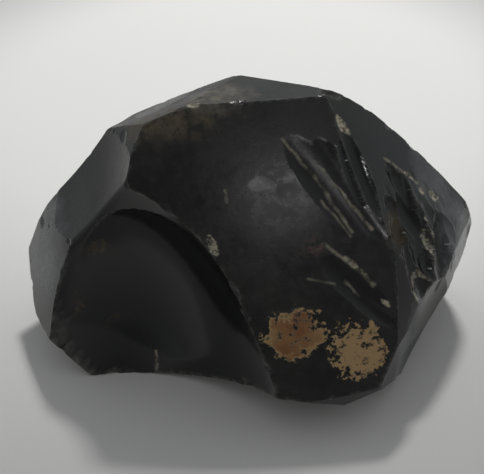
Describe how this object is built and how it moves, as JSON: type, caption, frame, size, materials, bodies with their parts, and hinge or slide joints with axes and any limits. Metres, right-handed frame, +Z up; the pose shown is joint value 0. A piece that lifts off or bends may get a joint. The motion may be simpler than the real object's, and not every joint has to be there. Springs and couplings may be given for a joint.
{
  "type": "tektite",
  "caption": "Broken hand-sized lump of black natural glass with one deep curved hollow, a row of flutes and a flat it rests on.",
  "frame": {"origin": "middle of the outline seen from above, at the height of the flat it rests on", "axes": "+X along the stone towards its pointed right end, +Y from the viewer through the stone, +Z up"},
  "size_m": [0.0892, 0.0594, 0.0531],
  "materials": {
    "glass": "glossy on fresh breaks, satin on older faces"
  },
  "bodies": {
    "root": {"tektite": "glass"}
  },
  "joints": []
}
